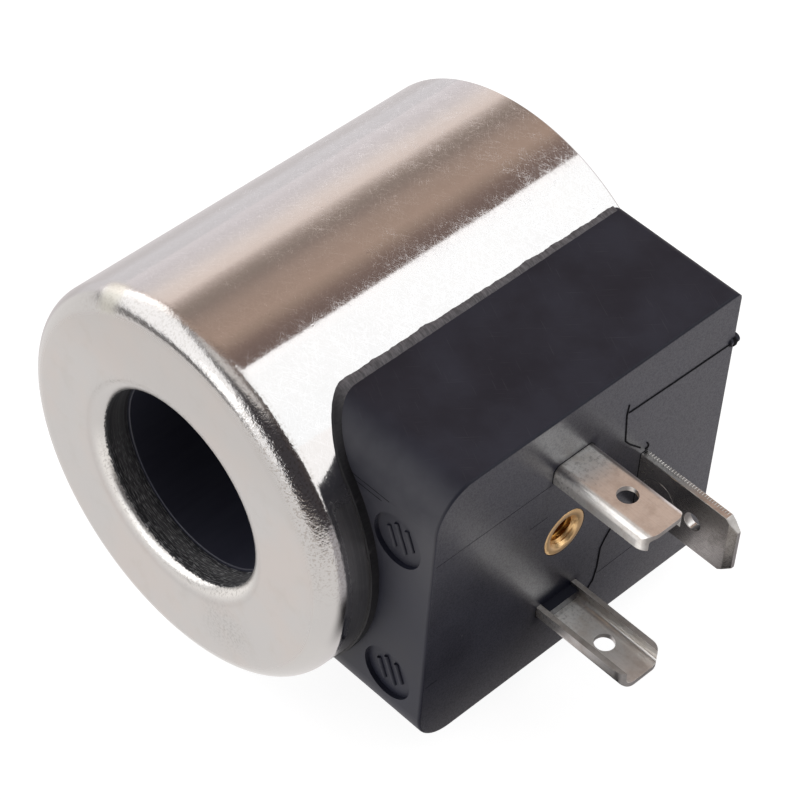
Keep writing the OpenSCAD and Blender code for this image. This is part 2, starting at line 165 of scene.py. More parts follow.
class Sheet:
    """A node tree, filled by calls of node()."""

    def __init__(self, tree):
        self.tree = tree

    def node(self, kind, settings=None, sockets=None):
        """Adds a node, applies its settings, then feeds its sockets by name or by index."""
        made = self.tree.nodes.new("ShaderNode" + kind)
        for name, value in (settings or {}).items():
            if name == "stops":
                self.fill(made.color_ramp, value)
            else:
                setattr(made, name, value)
        ready = [socket for socket in made.inputs if socket.enabled]
        for key, value in (sockets or {}).items():
            socket = ready[key] if isinstance(key, int) else next(s for s in ready if s.name == key)
            self.feed(socket, value)
        return {socket.name: Wire(self, socket) for socket in made.outputs if socket.enabled}

    def fill(self, ramp, stops):
        """Puts (position, colour) pairs on a colour ramp, which comes with two stops of its own."""
        ramp.elements.remove(ramp.elements[1])
        for index, (position, colour) in enumerate(stops):
            stop = ramp.elements.new(position) if index else ramp.elements[0]
            stop.position = position
            stop.color = (*colour, 1)

    def feed(self, socket, value):
        """Links a wire to a socket, or sets the socket's own value."""
        if isinstance(value, Wire):
            self.tree.links.new(value.socket, socket)
        else:
            socket.default_value = value

    def maths(self, operation, *values):
        """One Math node."""
        return self.node("Math", {"operation": operation}, dict(enumerate(values)))["Value"]

    def mix(self, share, first, second):
        """Blends two colours."""
        sockets = {"Factor": share, "A": first, "B": second}
        return self.node("Mix", {"data_type": "RGBA"}, sockets)["Result"]

    def point(self, x, y, z=0.0):
        """A position made of three numbers."""
        return self.node("CombineXYZ", {}, {"X": x, "Y": y, "Z": z})["Vector"]

    def cloud(self, place, size, detail=2.0, rough=0.5):
        """Soft noise with features of one size, in metres."""
        sockets = {"Vector": place, "Scale": 1 / size, "Detail": detail, "Roughness": rough}
        return self.node("TexNoise", {}, sockets)["Fac"]

    def dots(self, place, spacing, radius, share):
        """Round specks on a jittered grid. Only some of the cells hold one."""
        cell = self.node("TexVoronoi", {}, {"Vector": place, "Scale": 1 / spacing})
        pick = self.node("SeparateColor", {}, {"Color": cell["Color"]})
        kept = self.maths("LESS_THAN", pick["Red"], share)
        return cell["Distance"].ramp((0.3 + pick["Green"]) * (radius / spacing), 0.0) * kept

    def hairlines(self, u, v, turn, length, width, start):
        """Thin scratches in the plane of u and v, turned by an angle. A higher start leaves fewer."""
        along = u * math.cos(turn) + v * math.sin(turn)
        across = v * math.cos(turn) - u * math.sin(turn)
        drawn = self.point(along / length, across / width, turn)
        return self.cloud(drawn, 1.0, 0.0).ramp(start, start + 0.05)


print("a Wire adds, subtracts, multiplies, divides and raises to a power")

# %% [markdown]
# ## Finishes
# Every finish starts from the Principled shader. A number that is the same all over goes straight on its
# socket. What changes over the surface feeds the colour, the roughness, the metal share, the coat and the
# bump. Patterns are drawn on the object's own coordinates, in metres, so a size in a pattern is real.

# %% A finish starts here


class Finish(Sheet):
    """A material with its Principled shader, and the coordinates that patterns are drawn on."""

    def __init__(self, name, **fixed):
        self.material = bpy.data.materials.new(name)
        self.material.use_nodes = True
        super().__init__(self.material.node_tree)
        self.shader = self.tree.nodes["Principled BSDF"]
        self.place = self.node("TexCoord")["Object"]
        axes = self.node("SeparateXYZ", {}, {"Vector": self.place})
        self.x, self.y, self.z = axes["X"], axes["Y"], axes["Z"]
        self.set(**fixed)

    def set(self, **values):
        """Feeds sockets of the shader, named in lower case with underscores."""
        for name, value in values.items():
            socket = self.shader.inputs[name.replace("_", " ").title().replace("Ior", "IOR")]
            self.feed(socket, value)

    def relief(self, height):
        """Feeds a height in metres to the normal."""
        sockets = {"Strength": 1.0, "Distance": 1.0, "Height": height}
        self.set(normal=self.node("Bump", {}, sockets)["Normal"])

    def facing(self):
        """The surface's own direction, as three numbers."""
        normal = self.node("NewGeometry")["Normal"]
        return self.node("SeparateXYZ", {}, {"Vector": normal})

    def unrolled(self):
        """The can's side laid flat: distance round it, distance along it, and radius."""
        radius = (self.x * self.x + self.z * self.z) ** 0.5
        around = self.maths("ARCTAN2", self.z * -1, self.x * -1) * can_r
        return around, self.y, radius


print("a Finish is a Sheet with a shader")

# %% [markdown]
# ## The studio
# Bright metal shows its surroundings and little else, so the studio is part of the finish. A flat panel
# hangs behind and above with a wing at its right, a wide window of light stands at the front left, and a
# small card stands in front. The rest is a room, drawn on the world's directions: pale on the left, brown
# overhead and dark in front. The floor is a sheet of white paper. A product picture is often cut out on
# white, so the sheet looks white to the camera. Reflections see a glow of painted light and painted shade
# instead: bright on the left, a painted shadow of the coil on the right, and a front edge where the dark
# table begins.

# %% Floor
floor_size = 3.0
corners = [(-1, -1), (1, -1), (1, 1), (-1, 1)]
floor_points = [(u * floor_size / 2, v * floor_size / 2, -can_r) for u, v in corners]
floor_mesh = bpy.data.meshes.new("floor")
floor_mesh.from_pydata(floor_points, [], [(0, 1, 2, 3)])
floor = bpy.data.objects.new("floor", floor_mesh)
scene.collection.objects.link(floor)
floor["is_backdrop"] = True
print("floor lies at", round(-can_r / mm, 1), "mm")

# %% White paper
# Colours of the glow that reflections see: painted light on the paper, and painted shade.
lit_paper_near = (0.985, 0.96, 0.945, 1)
lit_paper_rear = (0.77, 0.73, 0.735, 1)
lit_paper_left = (0.92, 0.89, 0.915, 1)
deep_shade = (0.03, 0.028, 0.03, 1)
pale_shade = (0.53, 0.51, 0.53, 1)
dark_table = (0.10, 0.09, 0.09, 1)
brown_table = (0.26, 0.20, 0.165, 1)

paper = Finish("white_paper", base_color=(0.25, 0.25, 0.25, 1), roughness=0.9)
paper.set(specular_ior_level=0.0, emission_color=(1, 1, 1, 1), emission_strength=0.905)
behind = paper.y.ramp(0.0, 12 * mm)
far_left = paper.x.ramp(-75 * mm, -150 * mm)
# Painted shadow of the coil, on the paper to its right.
shaded = paper.x.ramp(20 * mm, 30 * mm) * paper.y.ramp(-4 * mm, 8 * mm)
beyond_rear = paper.y.ramp(22 * mm, 52 * mm)
beyond_right = paper.x.ramp(34 * mm, 46 * mm)
beyond = paper.maths("MAXIMUM", beyond_rear, beyond_right)
front_edge = paper.y.ramp(-130 * mm, -170 * mm)
left_table = front_edge * paper.x.ramp(-20 * mm, -60 * mm)
right_table = front_edge * (paper.x + paper.y * 0.65).ramp(-20 * mm, 30 * mm)
glow = paper.mix(behind, lit_paper_near, paper.mix(far_left, lit_paper_rear, lit_paper_left))
glow = paper.mix(shaded, glow, paper.mix(beyond, deep_shade, pale_shade))
glow = paper.mix(left_table, glow, dark_table)
glow = paper.mix(right_table, glow, brown_table)
# The glow is emission, seen only by reflections: painted light and painted shadow on the paper.
painted_paper_glow = paper.node("Emission", {}, {"Color": glow, "Strength": 1.0})["Emission"]
straight = paper.node("LightPath")["Is Camera Ray"]
sheet = Wire(paper, paper.shader.outputs["BSDF"])
both = paper.node("MixShader", {}, {0: straight, 1: painted_paper_glow, 2: sheet})["Shader"]
paper.feed(paper.tree.nodes["Material Output"].inputs["Surface"], both)
floor_mesh.materials.append(paper.material)
print("paper is laid")

# %% Light panels


def panel(name, centre, target, width, height, radiance, colour=(1, 1, 1)):
    """An even rectangle of light. Its power follows from how bright it looks and how large it is."""
    lamp = bpy.data.lights.new(name, "AREA")
    lamp.shape = "RECTANGLE"
    lamp.size = width
    lamp.size_y = height
    lamp.energy = radiance * math.pi * width * height
    lamp.color = colour
    holder = bpy.data.objects.new(name, lamp)
    towards = (Vector(target) - Vector(centre)).normalized()
    holder.matrix_world = Matrix.Translation(centre) @ towards.to_track_quat("-Z", "Y").to_matrix().to_4x4()
    scene.collection.objects.link(holder)


strip_left = 0.013
strip_width = 0.50
strip_centre = Vector((strip_left + strip_width / 2, 0.35, 0.45))
strip_colour = (0.965, 1.0, 1.02)
below_strip = strip_centre - Vector((0, 0, 1))
panel("back_strip", strip_centre, below_strip, strip_width, 0.50, radiance=1.60, colour=strip_colour)
stand_off = 0.6
window_centre = direction(math.radians(-52), math.radians(32)) * stand_off
panel("front_window", window_centre, (0, 0, 0), width=1.3, height=0.585, radiance=1.5)
card_centre = direction(math.radians(3), math.radians(13)) * stand_off
panel("front_card", card_centre, (0, 0, 0), width=0.40, height=0.30, radiance=1.3)
wing_centre = Vector((strip_left + strip_width, 0.40, 0.26))
beside_wing = wing_centre - Vector((1, 0, 0))
panel("right_wing", wing_centre, beside_wing, width=0.50, height=0.38, radiance=1.5)
print("four panels of light")

# %% The room around
world = bpy.data.worlds.new("room")
world.use_nodes = True
scene.world = world
world.node_tree.nodes.clear()
room = Sheet(world.node_tree)
dark_front = (0.06, 0.055, 0.06, 1)
pale_overhead = (0.74, 0.71, 0.69, 1)
room_stops = [
    (0.00, (0.05, 0.045, 0.05)),
    (0.46, (0.10, 0.075, 0.065)),
    (0.49, (0.21, 0.15, 0.135)),
    (0.53, (0.23, 0.165, 0.145)),
    (0.555, (0.28, 0.20, 0.17)),
    (0.585, (0.42, 0.31, 0.25)),
    (0.61, (0.50, 0.365, 0.295)),
    (0.64, (0.47, 0.345, 0.28)),
    (0.68, (0.44, 0.33, 0.275)),
    (0.72, (0.34, 0.265, 0.23)),
    (0.745, (0.335, 0.27, 0.235)),
    (0.765, (0.39, 0.315, 0.275)),
    (0.79, (0.59, 0.49, 0.44)),
    (0.815, (0.95, 0.81, 0.74)),
    (0.86, (0.96, 0.85, 0.80)),
    (0.905, (0.85, 0.785, 0.78)),
    (0.95, (0.81, 0.76, 0.775)),
    (1.00, (0.88, 0.83, 0.85)),
]
heading = room.node("SeparateXYZ", {}, {"Vector": room.node("TexCoord")["Generated"]})
sweep = room.maths("ARCTAN2", abs(heading["Z"]), heading["X"]) / math.pi
shade = room.node("ValToRGB", {"stops": room_stops}, {"Fac": sweep})["Color"]
front_shade = room.mix(heading["Z"].ramp(0.84, 0.94), dark_front, pale_overhead)
shade = room.mix(heading["Y"].ramp(0.1, -0.15), shade, front_shade)
lit = room.node("Background", {}, {"Color": shade, "Strength": 1.2})["Background"]
seen = room.node("Background", {}, {"Color": (1, 1, 1, 1), "Strength": 1.0})["Background"]
straight = room.node("LightPath")["Is Camera Ray"]
both = room.node("MixShader", {}, {0: straight, 1: lit, 2: seen})["Shader"]
room.node("OutputWorld", {}, {"Surface": both})
scene.view_settings.view_transform = "Standard"
print("the room is set")

# %% [markdown]
# ## Building a mesh
# A mesh made from rows of points stays clean: neighbouring rows are joined by quads, and no boolean leaves
# slivers behind. `add_piece` turns points and faces into an object that rides on the coil's one body, and
# sharp edges are marked by angle, so that curved walls shade smooth and corners stay crisp.

# %% Mesh helpers


def add_piece(name, points, faces, finish, smooth_angle=30.0):
    """A new visible piece, in metres, that rides on the coil."""
    mesh = bpy.data.meshes.new(name)
    mesh.from_pydata(points, [], faces)
    return keep_piece(name, mesh, finish, smooth_angle)


def keep_piece(name, mesh, finish, smooth_angle):
    """Cleans a mesh, marks its sharp edges and makes a riding piece of it."""
    mesh.validate()
    shape = bmesh.new()
    shape.from_mesh(mesh)
    bmesh.ops.recalc_face_normals(shape, faces=shape.faces)
    shape.to_mesh(mesh)
    shape.free()
    mesh.shade_smooth()
    mesh.set_sharp_from_angle(angle=math.radians(smooth_angle))
    mesh.materials.append(finish.material)
    piece = bpy.data.objects.new(name, mesh)
    scene.collection.objects.link(piece)
    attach(piece, "root")
    return piece


def bridge(first, second, closed=True):
    """Quads between two rows of point numbers."""
    count = len(first)
    steps = range(count if closed else count - 1)
    return [(first[i], first[(i + 1) % count], second[(i + 1) % count], second[i]) for i in steps]


def arc(centre, radius, start, end, steps):
    """Points on a circle's arc, as pairs."""
    angles = [math.radians(start + (end - start) * i / steps) for i in range(steps + 1)]
    return [(centre[0] + radius * math.cos(a), centre[1] + radius * math.sin(a)) for a in angles]


print("pieces can be built from rows of points")

# %% [markdown]
# ## The steel can
# The real can is drawn from a disc of steel: a thick front face with a rolled outer edge, a punched hole
# with a softly rounded mouth, a straight side and a turned rear rim. A slot runs in from the rear, and the
# moulding passes through it to the winding. The shell is one profile revolved round the bore. Behind the
# slot's front end each ring stays open, and the slot's three walls close the mesh.

# %% Profile of the can
wall = 2.5 * mm
face_t = 3.2 * mm
edge_r = 2.4 * mm
mouth_depth = 1.2 * mm
mouth_width = 1.9 * mm
inner_r = 0.4 * mm
rim_c = 0.3 * mm
hole_r = bore_r + 0.25 * mm
flat_step = 0.5 * mm
slot_half = 8.5 * mm
slot_front = 10 * mm

front_profile = [(hole_r, face_t), (hole_r, 0.5 * (face_t + mouth_depth))]
mouth_arc = arc((1, 1), 1, 180, 270, 18)
front_profile += [(hole_r + mouth_width * u, mouth_depth * v) for u, v in mouth_arc]
front_profile += [(hole_r + mouth_width + flat_step, 0.0), (can_r - edge_r - flat_step, 0.0)]
front_profile += arc((can_r - edge_r, edge_r), edge_r, 270, 360, 20)
front_profile += [(can_r, edge_r + flat_step), (can_r, slot_front)]
rear_profile = [(can_r, slot_front), (can_r, can_len - rim_c), (can_r - rim_c, can_len)]
rear_profile += [(can_r - wall, can_len), (can_r - wall, slot_front)]
back_profile = [(can_r - wall, slot_front), (can_r - wall, face_t + inner_r)]
back_profile += arc((can_r - wall - inner_r, face_t + inner_r), inner_r, 0, -90, 6)[1:]
back_profile += [(hole_r, face_t)]
print(len(front_profile) + len(rear_profile) + len(back_profile), "points round the wall of the can")

# %% Shell of the can
open_steps = 300
slot_steps = 48


def can_ring(radius, y):
    """Points round the can at one radius, the slot's width last."""
    edge = math.asin(slot_half / max(radius, can_r - wall))
    angles = [edge + (2 * math.pi - 2 * edge) * i / open_steps for i in range(open_steps + 1)]
    angles += [-edge + 2 * edge * i / slot_steps for i in range(1, slot_steps)]
    return [(radius * math.cos(a), y, radius * math.sin(a)) for a in angles]


can_points = []
can_faces = []


def add_rings(profile):
    """Adds a ring for each point of a profile, and returns their point numbers."""
    rings = []
    for radius, y in profile:
        ring = can_ring(radius, y)
        rings.append(list(range(len(can_points), len(can_points) + len(ring))))
        can_points.extend(ring)
    return rings


front_rings = add_rings(front_profile)
rear_rings = [front_rings[-1]] + add_rings(rear_profile[1:])
back_rings = [rear_rings[-1]] + add_rings(back_profile[1:-1]) + [front_rings[0]]
for rings in (front_rings, back_rings):
    for first, second in zip(rings, rings[1:]):
        can_faces += bridge(first, second)
for first, second in zip(rear_rings, rear_rings[1:]):
    can_faces += bridge(first[: open_steps + 1], second[: open_steps + 1], closed=False)
slot_outer = [front_rings[-1][open_steps], *front_rings[-1][open_steps + 1 :], front_rings[-1][0]]
slot_inner = [rear_rings[-1][open_steps], *rear_rings[-1][open_steps + 1 :], rear_rings[-1][0]]
can_faces += bridge(slot_outer, slot_inner, closed=False)
can_faces.append([ring[0] for ring in rear_rings])
can_faces.append([ring[open_steps] for ring in rear_rings])
used = sorted({number for face in can_faces for number in face})
renumber = {number: place for place, number in enumerate(used)}
can_points = [can_points[number] for number in used]
can_faces = [[renumber[number] for number in face] for face in can_faces]
print(len(can_points), "points and", len(can_faces), "faces in the can")

# %% [markdown]
# ## Bright plated steel
# The side is nearly a mirror, with a fine grain across it, a soft orange peel and the marks of handling.
# The front face is satin. The rolled edge and the lip of the hole show the coarse grain of bent sheet,
# which breaks every reflection into sparkles. One finish covers them all, so it starts with masks: numbers
# that are one inside a zone of the can, nought outside, and run smoothly between.

# %% Zones of the can
steel = Finish("bright_plating")
around, along, radius = steel.unrolled()
unrolled = steel.point(around, along, radius)
block_front = 5.5 * mm
lip_r = hole_r + mouth_width

flat_face = along.ramp(0.22 * mm, 0.02 * mm)
bent = along.ramp(edge_r + 0.3 * mm, edge_r - 0.5 * mm) * (1 - flat_face)
side = along.ramp(2.0 * mm, 3.0 * mm)
side = side * along.ramp(can_len - rim_c, can_len - rim_c - 0.06 * mm)
lip = radius.ramp(lip_r + 0.15 * mm, lip_r - 0.25 * mm) * along.ramp(0.0, 0.05 * mm)
rolled = bent * steel.z.ramp(0.0, 6 * mm) * steel.x.ramp(-15 * mm, -7 * mm)
rolled = rolled * radius.ramp(can_r - 3.5 * mm, can_r - 2.5 * mm)
bearing = steel.maths("ARCTAN2", steel.z, steel.x)
right_roll = rolled * bearing.ramp(1.25, 1.0)
left_roll = rolled - right_roll
# The side just in front of the block gets a painted dark reflection of the block, and more roughness.
near_block = side * bearing.ramp(0.65, 0.50) * steel.x.ramp(0.0, 4 * mm)
near_block = near_block * along.ramp(block_front + 0.5 * mm, block_front - 0.5 * mm)
print("face, lip, rolled edge and side are told apart")

# %% [markdown]
# ### Grain and wear
# Clouds of noise at several sizes give the stains and the grain. Thin scratches run in a few directions,
# denser towards the rear, where hands hold the coil. The face has a smear below the hole, a speckled
# painted dark reflection above it, and a yellowed spot where the rolled edge begins.

# %% Marks on the plating
patches = steel.cloud(steel.place, 8 * mm, 3.0, 0.6)
stains = steel.cloud(steel.place, 2.4 * mm, 4.0, 0.6)
grain = steel.cloud(steel.point(around / 5, along, radius), 0.12 * mm, 2.0, 0.6)
peel = steel.cloud(unrolled, 0.6 * mm, 1.0)
waves = steel.cloud(unrolled, 5 * mm, 1.0)
crumple = steel.cloud(steel.place, 0.22 * mm, 2.0, 0.6)
speckle = crumple.ramp(0.50, 0.62)
dents = steel.cloud(steel.place, 0.5 * mm)
pits = steel.dots(unrolled, 1.3 * mm, 0.17 * mm, 0.35)
specks = steel.dots(unrolled, 2.4 * mm, 0.13 * mm, 0.4) * side

worn = stains.ramp(0.30, 0.70, 0.35, 1.0) * along.ramp(4 * mm, 34 * mm, 0.45, 1.0)
scratches = steel.hairlines(around, along, 0.1, 0.9 * mm, 0.055 * mm, 0.665)
for turn in (-0.35, 0.5, 1.0, 1.6, 2.2, 2.7):
    scratches = scratches + steel.hairlines(around, along, turn, 0.9 * mm, 0.05 * mm, 0.69)
for turn in (0.8, 2.4):
    scratches = scratches + steel.hairlines(around, along, turn, 2.2 * mm, 0.06 * mm, 0.70)
scratches = scratches * side * worn


def distance_from(x, z):
    """Distance from a spot that is seen from the front."""
    return ((steel.x - x) ** 2 + (steel.z - z) ** 2) ** 0.5


smear = steel.cloud(steel.place, 0.28 * mm, 5.0, 0.7).ramp(0.42, 0.72) * flat_face
smear_off = distance_from(6.6 * mm, -11 * mm) + patches * (3 * mm)
smear = smear * smear_off.ramp(5.5 * mm, 2.0 * mm)
# Painted dark reflection: a speckled dark ring above the hole's mouth.
dark_reflection_above_hole = (radius + stains * (2.4 * mm)).ramp(lip_r + 1.45 * mm, lip_r + 0.25 * mm)
dark_reflection_above_hole = dark_reflection_above_hole * steel.z.ramp(2 * mm, 8 * mm) * flat_face
aged_off = distance_from(-8.4 * mm, 16.0 * mm) + patches * (1.5 * mm)
aged = bent * aged_off.ramp(2.9 * mm, 1.3 * mm)
print("stains, scratches and grain are drawn")

# %% [markdown]
# ### The hole
# The punch rolled the sheet's edge over, then sheared through it. The lip has a painted highlight at the
# lower left, where it faces the light. The sheared wall behind it is painted dark, a painted reflection of
# the dark bore, with faint streaks round it, a lighter band half way in and bright scuffs at the bottom,
# where the tube slides.

# %% Lip and wall
# Painted highlight on the lower part of the lip.
lip_highlight = lip * (along + crumple * (0.3 * mm)).ramp(0.20 * mm, 0.55 * mm)
lip_highlight = lip_highlight * steel.z.ramp(1 * mm, -4 * mm)
wall_depth = along + grain * (0.5 * mm)
punched = wall_depth.ramp(mouth_depth - 0.18 * mm, mouth_depth - 0.06 * mm)
punched = punched * radius.ramp(hole_r + 0.5 * mm, hole_r + 0.3 * mm)
streaks = steel.cloud(steel.point(around / 220, along, radius), 0.13 * mm, 1.0)
band = along.ramp(1.5 * mm, 2.0 * mm) * along.ramp(3.0 * mm, 2.6 * mm)
scuffs = steel.hairlines(around, along, 0.015, 1.4 * mm, 0.05 * mm, 0.60)
scuffs = scuffs * steel.z.ramp(1 * mm, -7 * mm)
streaked = streaks.ramp(0.40, 0.75) * 0.10 + band * 0.08 + scuffs * 0.55
# The wall's dark colour is a painted reflection of the dark bore; its streaks and scuffs are wear.
wall_reflection_and_wear = steel.mix(streaked, (0.034, 0.034, 0.038, 1), (0.50, 0.50, 0.505, 1))
print("the hole has its lip and its wall")

# %% [markdown]
# ### Colour, polish and relief
# Each layer of colour lies over the ones before it, as far as its mask lets it show. The same masks make
# the surface duller where it is worn, and the grain stands up as relief on the bent edges only. Some
# layers are painted light and shade: a highlight on the lip, dark reflections above the hole and of the
# block beside it, and shade towards the top of the face.

# %% Layers of the plating
tint = steel.mix(patches, (0.55, 0.54, 0.535, 1), (0.605, 0.585, 0.57, 1))
layers = [
    (stains.ramp(0.50, 0.72) * flat_face * 0.3, (0.51, 0.485, 0.455)),
    (smear * 0.85, (0.36, 0.345, 0.33)),
    (specks * 0.35, (0.22, 0.20, 0.19)),
    (patches.ramp(0.40, 0.65) * flat_face * 0.25, (0.62, 0.52, 0.47)),
    # Painted highlight on the lip.
    (lip_highlight * 0.9, (0.86, 0.84, 0.81)),
    # Painted dark reflection above the hole.
    (dark_reflection_above_hole * speckle * 0.35, (0.22, 0.20, 0.18)),
    # Darker speckle within the lip's painted highlight.
    (lip_highlight * speckle * 0.45, (0.40, 0.38, 0.36)),
    # Painted shade: the face darker towards its top.
    (steel.z.ramp(6 * mm, 13 * mm) * flat_face * 0.3, (0.47, 0.44, 0.42)),
    (aged * 0.55, (0.70, 0.68, 0.58)),
    (scratches * 0.42, (0.80, 0.80, 0.81)),
    ((rolled * 0.18 + right_roll * 0.2) * speckle, (0.28, 0.24, 0.20)),
    # Painted dark reflection of the block on the can's side, streaked.
    (near_block * (0.35 + streaks * 0.5), (0.16, 0.16, 0.17)),
]
for share, colour in layers:
    tint = steel.mix(share, tint, (*colour, 1))
dulled = flat_face * 0.24 + scratches * 0.16 + bent * 0.07 + lip * 0.17
dulled = dulled + near_block * 0.24 + left_roll * 0.08 + aged * 0.22 + punched * 0.25
steel.set(
    base_color=steel.mix(punched, tint, wall_reflection_and_wear),
    metallic=1 - punched * 0.7,
    roughness=0.045 + patches * 0.03 + dulled,
)
glitter = right_roll * (1.1 + radius.ramp(can_r - 1.3 * mm, can_r - 0.7 * mm) * 1.2)
glitter = glitter * radius.ramp(can_r - 0.05 * mm, can_r - 0.35 * mm)
height = grain * (2.4 * micron) + peel * (1.6 * micron) + waves * (14 * micron)
height = height + crumple * (bent * 0.06 + lip + rolled * 0.6 + glitter) * (14 * micron)
height = height + dents * rolled * (22 * micron)
height = height - pits * (4.0 * micron) + streaked * punched * (6 * micron)
steel.relief(height)

can_shell = add_piece("can_shell", can_points, can_faces, steel)
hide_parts("steel_can")
print("the can is plated")

# %% [markdown]
# ## Black moulding
# The block is glass-filled nylon, moulded straight onto the can. Its top and front are a fine matte with
# dust and faint scratches, and the connector face came off a polished tool, so it blurs what stands on it.
# Close round the two line pins the tool was not polished, and the face stays dull.

# %% Black plastic
black = Finish("black_moulding", ior=1.5, specular_ior_level=0.3, coat_roughness=0.28)
facing = black.facing()
glossy = facing["X"].ramp(0.90, 0.99)
upward = facing["Z"].ramp(0.80, 0.98)
forward = facing["Y"].ramp(-0.70, -0.98)
mottle = black.cloud(black.place, 7 * mm, 4.0, 0.6).ramp(0.3, 0.7)
tooth = black.cloud(black.place, 0.13 * mm)
dust = black.dots(black.place, 2.6 * mm, 0.09 * mm, 0.35)
rubs = black.hairlines(black.x, black.y, 0.9, 3.4 * mm, 0.10 * mm, 0.76) * upward
rubs = rubs + black.hairlines(black.x, black.y, 2.7, 2.6 * mm, 0.09 * mm, 0.77) * upward
wipes = black.hairlines(black.y, black.z, 0.3, 3.0 * mm, 0.09 * mm, 0.77) * glossy
plain = black.mix(mottle, (0.0075, 0.0083, 0.0185, 1), (0.0190, 0.0205, 0.0350, 1))
pin_level = 8.6 * mm
beside = abs(black.y - screw_y)
above = abs(abs(black.z) - pin_level)
roots = beside.ramp(3.1 * mm, 2.3 * mm) * above.ramp(1.8 * mm, 0.8 * mm)
# Painted sheen: faces towards the front are lighter, more so towards the top.
front_sheen = facing["Y"].ramp(-0.2, -0.9) * black.z.ramp(-2 * mm, 11 * mm)
front_sheen = front_sheen * (0.5 + mottle * 0.7)
plain = black.mix(front_sheen * 0.85, plain, (0.055, 0.055, 0.065, 1))
plain = black.mix((rubs + wipes) * 0.07, plain, (0.16, 0.16, 0.17, 1))
black.set(
    base_color=black.mix(dust, plain, (0.50, 0.50, 0.50, 1)),
    roughness=0.46 + mottle * 0.10 - glossy * 0.18 + dust * 0.3,
    coat_weight=glossy * tooth.ramp(0.30, 0.64, 0.48, 1.0) * (1 - roots * 0.9) + forward * 0.06,
)
black.relief(tooth * (1.0 * micron + (1 - glossy) * 2.0 * micron) - (rubs + wipes) * (1.2 * micron))
print("the moulding has its finish")

# %% [markdown]
# ## Flash round the block
# Where the mould closed on the can, a film of plastic crept out and stayed as a ragged skirt. It is swept
# along the block's outline. Each step holds a small section that lies on the can, and noise moves its
# outer edge in and out. Noise along the sweep also ridges its top, as torn plastic is. A bottom row inside
# the can closes the mesh. The solid's own skirt, which is even, is drawn in under the film.

# %% Outline of the block on the can
block_rear = can_len - 0.7 * mm
block_top = 15.2 * mm
block_base = -15.4 * mm
upper_corner = 4.0 * mm
lower_corner = 3.8 * mm
skirt_front = 0.75 * mm
skirt_side = 0.25 * mm
skirt_end = 0.03 * mm
film_step = 0.11 * mm


def between(start, end, share):
    """A value some share of the way from start to end."""
    return start + (end - start) * share


def straight_run(start, end, away, *widths):
    """Steps along a line in y and z: place, direction away from the block, and width of the skirt."""
    count = round(math.dist(start, end) / film_step)
    shares = [i / count for i in range(count)]
    places = [[between(a, b, share) for a, b in zip(start, end)] for share in shares]
    return [(*place, *away, between(*widths, share)) for place, share in zip(places, shares)]


def corner_run(y, z, radius, start, end, *widths):
    """Steps round a corner with its centre at y and z, from one angle to another."""
    count = round(abs(math.radians(end - start)) * radius / film_step)
    steps = []
    for share in [i / count for i in range(count)]:
        angle = math.radians(between(start, end, share))
        c, s = math.cos(angle), math.sin(angle)
        steps.append((y + radius * c, z + radius * s, c, s, between(*widths, share)))
    return steps


upper_y = block_front + upper_corner
lower_y = block_front + lower_corner
upper_z = block_top - upper_corner
lower_z = block_base + lower_corner
outline = straight_run((block_rear, block_top), (upper_y, block_top), (0, 1), skirt_end, skirt_side)
outline += corner_run(upper_y, upper_z, upper_corner, 90, 180, skirt_side, skirt_front)
outline += straight_run((block_front, upper_z), (block_front, lower_z), (-1, 0), skirt_front, skirt_front)
outline += corner_run(lower_y, lower_z, lower_corner, 180, 270, skirt_front, skirt_side)
outline += straight_run((lower_y, block_base), (block_rear, block_base), (0, -1), skirt_side, skirt_end)
print(len(outline), "steps round the block")

# %% Trim the skirt of the solid
skirt_height = 0.3 * mm
drawn_in = 0.45
block_mesh = nodes["moulded_block"].data.copy()
moved = 0
for vertex in block_mesh.vertices:
    x, y, z = vertex.co
    middle_y, middle_z, radius = lower_y, -lower_z, lower_corner
    if z > 0:
        middle_y, middle_z, radius = upper_y, upper_z, upper_corner
    ahead = min(y - middle_y, 0.0)
    aside = max(abs(z) - middle_z, 0.0)
    away = math.hypot(ahead, aside)
    outside = away - radius
    if outside < 0.01 * mm or abs(math.hypot(x, z) - can_r) > skirt_height:
        continue
    shrink = 1 - drawn_in * aside / away * outside / away
    new_y = middle_y + ahead * shrink if ahead < 0 else y
    new_z = math.copysign(middle_z + aside * shrink, z)
    vertex.co = (math.sqrt(x * x + z * z - new_z * new_z), new_y, new_z)
    moved += 1
block_mesh.materials.clear()
block_mesh.materials.append(black.material)
block = bpy.data.objects.new("black_block", block_mesh)
scene.collection.objects.link(block)
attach(block, "root")
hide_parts("moulded_block")
print(moved, "points of the skirt drawn in")

# %% Torn film
torn = Finish("torn_film", ior=1.5, specular_ior_level=0.3)
around, along, _ = torn.unrolled()
across_top = torn.cloud(torn.point(along, around / 6), 0.13 * mm, 2.0, 0.6)
across_front = torn.cloud(torn.point(around, along / 6), 0.13 * mm, 2.0, 0.6)
front = along.ramp(9.5 * mm, 6.5 * mm)
fibres = across_top * (1 - front) + across_front * front
clots = torn.cloud(torn.place, 0.9 * mm, 4.0, 0.65)
highlight_blotches = (fibres * 0.6 + clots * 0.4).ramp(0.36, 0.66)
# Painted light and shade: pale grey blotches stand for light on the torn surface, and the front part is
# darkened almost to black by painted shade.
pale = (0.40 + highlight_blotches * 0.6) * (1 - front * 0.90)
torn.set(
    base_color=torn.mix(pale, (0.006, 0.006, 0.008, 1), (0.185, 0.178, 0.192, 1)),
    roughness=0.45 + clots * 0.2,
)
torn.relief(fibres * (9 * micron) + clots * (10 + front * 20) * micron)
print("the film has its finish")

